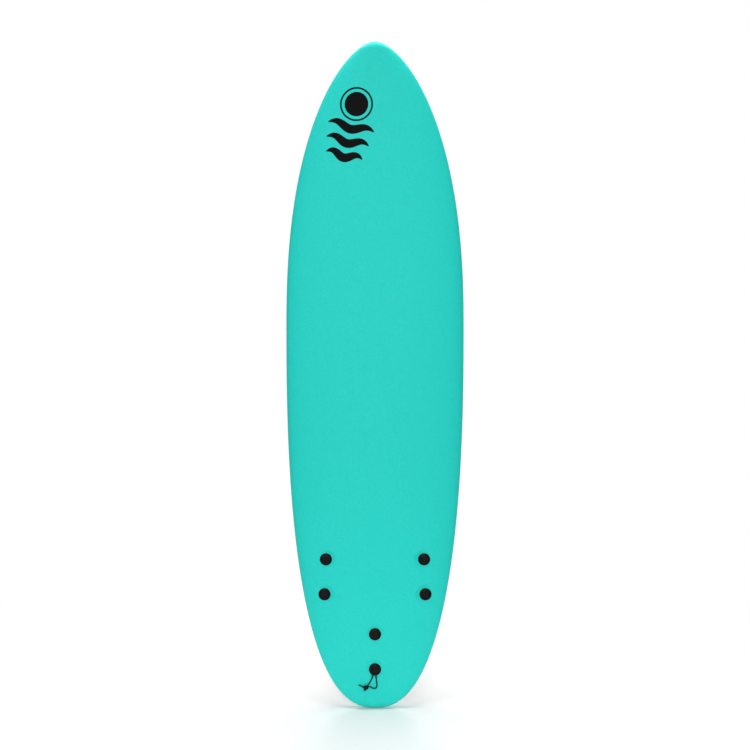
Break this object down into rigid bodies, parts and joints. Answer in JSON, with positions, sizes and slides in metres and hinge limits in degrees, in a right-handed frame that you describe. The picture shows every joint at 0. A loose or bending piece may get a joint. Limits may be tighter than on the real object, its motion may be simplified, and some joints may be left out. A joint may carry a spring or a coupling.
{
  "type": "surfboard",
  "caption": "Foam-skinned surfboard with a rounded nose, squashed round tail, slick striped bottom, removable bolt-through fins and a small loop of leash string.",
  "frame": {"origin": "lowest point of the tail, on the centre line, where the upright board stands on a rack's padded foot", "axes": "+Z from tail to nose, -Y out of the deck, +Y out of the bottom towards the fins, +X to the right of a person looking at the deck"},
  "size_m": [0.58, 0.2502, 2.134],
  "materials": {
    "deck_foam": "matt cross-linked foam with a fine pebbled skin",
    "bottom_slick": "semi-gloss slick film, printed with black wavy stripes",
    "core_foam": "moulded bead foam",
    "stringer_wood": "bare plywood",
    "sleeve_plastic": "natural nylon",
    "washer_plastic": "satin moulded nylon",
    "screw_plastic": "satin moulded nylon",
    "fin_plastic": "satin blade with polished edges",
    "insert_brass": "knurled brass",
    "leash_cord": "braided polyester"
  },
  "bodies": {
    "board": {"core_left": "core_foam", "core_centre": "core_foam", "core_right": "core_foam", "stringer_left": "stringer_wood", "stringer_right": "stringer_wood", "deck_skin": "deck_foam", "bottom_skin": "bottom_slick", "sleeve_left_front": "sleeve_plastic", "sleeve_left_rear": "sleeve_plastic", "sleeve_centre_front": "sleeve_plastic", "sleeve_centre_rear": "sleeve_plastic", "sleeve_right_front": "sleeve_plastic", "sleeve_right_rear": "sleeve_plastic", "leash_string_a": "leash_cord", "leash_string_b": "leash_cord", "leash_knot": "leash_cord"},
    "fin_left": {"fin_left": "fin_plastic", "insert_left_front": "insert_brass", "insert_left_rear": "insert_brass"},
    "washer_left_front": {"washer_left_front": "washer_plastic"},
    "screw_left_front": {"screw_left_front": "screw_plastic"},
    "washer_left_rear": {"washer_left_rear": "washer_plastic"},
    "screw_left_rear": {"screw_left_rear": "screw_plastic"},
    "fin_centre": {"fin_centre": "fin_plastic", "insert_centre_front": "insert_brass", "insert_centre_rear": "insert_brass"},
    "washer_centre_front": {"washer_centre_front": "washer_plastic"},
    "screw_centre_front": {"screw_centre_front": "screw_plastic"},
    "washer_centre_rear": {"washer_centre_rear": "washer_plastic"},
    "screw_centre_rear": {"screw_centre_rear": "screw_plastic"},
    "fin_right": {"fin_right": "fin_plastic", "insert_right_front": "insert_brass", "insert_right_rear": "insert_brass"},
    "washer_right_front": {"washer_right_front": "washer_plastic"},
    "screw_right_front": {"screw_right_front": "screw_plastic"},
    "washer_right_rear": {"washer_right_rear": "washer_plastic"},
    "screw_right_rear": {"screw_right_rear": "screw_plastic"}
  },
  "joints": [
    {"name": "fin_left_out", "type": "slide", "parent": "board", "child": "fin_left", "axis": [0, 1, 0], "range_m": [0, 0.06]},
    {"name": "screw_left_front_lift", "type": "slide", "parent": "board", "child": "washer_left_front", "axis": [0, -1, 0], "range_m": [0, 0.01524]},
    {"name": "screw_left_front_turn", "type": "hinge", "parent": "washer_left_front", "child": "screw_left_front", "pos_m": [-0.15823, 0, 0.48095], "axis": [0, -1, 0], "range_deg": [0, 4321]},
    {"name": "screw_left_rear_lift", "type": "slide", "parent": "board", "child": "washer_left_rear", "axis": [0, -1, 0], "range_m": [0, 0.01524]},
    {"name": "screw_left_rear_turn", "type": "hinge", "parent": "washer_left_rear", "child": "screw_left_rear", "pos_m": [-0.16277, 0, 0.36805], "axis": [0, -1, 0], "range_deg": [0, 4321]},
    {"name": "fin_centre_out", "type": "slide", "parent": "board", "child": "fin_centre", "axis": [0, 1, 0], "range_m": [0, 0.06]},
    {"name": "screw_centre_front_lift", "type": "slide", "parent": "board", "child": "washer_centre_front", "axis": [0, -1, 0], "range_m": [0, 0.01524]},
    {"name": "screw_centre_front_turn", "type": "hinge", "parent": "washer_centre_front", "child": "screw_centre_front", "pos_m": [0, 0, 0.2425], "axis": [0, -1, 0], "range_deg": [0, 4321]},
    {"name": "screw_centre_rear_lift", "type": "slide", "parent": "board", "child": "washer_centre_rear", "axis": [0, -1, 0], "range_m": [0, 0.01524]},
    {"name": "screw_centre_rear_turn", "type": "hinge", "parent": "washer_centre_rear", "child": "screw_centre_rear", "pos_m": [0, 0, 0.1295], "axis": [0, -1, 0], "range_deg": [0, 4321]},
    {"name": "fin_right_out", "type": "slide", "parent": "board", "child": "fin_right", "axis": [0, 1, 0], "range_m": [0, 0.06]},
    {"name": "screw_right_front_lift", "type": "slide", "parent": "board", "child": "washer_right_front", "axis": [0, -1, 0], "range_m": [0, 0.01524]},
    {"name": "screw_right_front_turn", "type": "hinge", "parent": "washer_right_front", "child": "screw_right_front", "pos_m": [0.15823, 0, 0.48095], "axis": [0, -1, 0], "range_deg": [0, 4321]},
    {"name": "screw_right_rear_lift", "type": "slide", "parent": "board", "child": "washer_right_rear", "axis": [0, -1, 0], "range_m": [0, 0.01524]},
    {"name": "screw_right_rear_turn", "type": "hinge", "parent": "washer_right_rear", "child": "screw_right_rear", "pos_m": [0.16277, 0, 0.36805], "axis": [0, -1, 0], "range_deg": [0, 4321]}
  ],
  "couplings": [
    {"joint": "screw_left_front_turn", "follows": "screw_left_front_lift", "rad_per_m": 4947.4},
    {"joint": "screw_left_rear_turn", "follows": "screw_left_rear_lift", "rad_per_m": 4947.4},
    {"joint": "screw_centre_front_turn", "follows": "screw_centre_front_lift", "rad_per_m": 4947.4},
    {"joint": "screw_centre_rear_turn", "follows": "screw_centre_rear_lift", "rad_per_m": 4947.4},
    {"joint": "screw_right_front_turn", "follows": "screw_right_front_lift", "rad_per_m": 4947.4},
    {"joint": "screw_right_rear_turn", "follows": "screw_right_rear_lift", "rad_per_m": 4947.4}
  ]
}
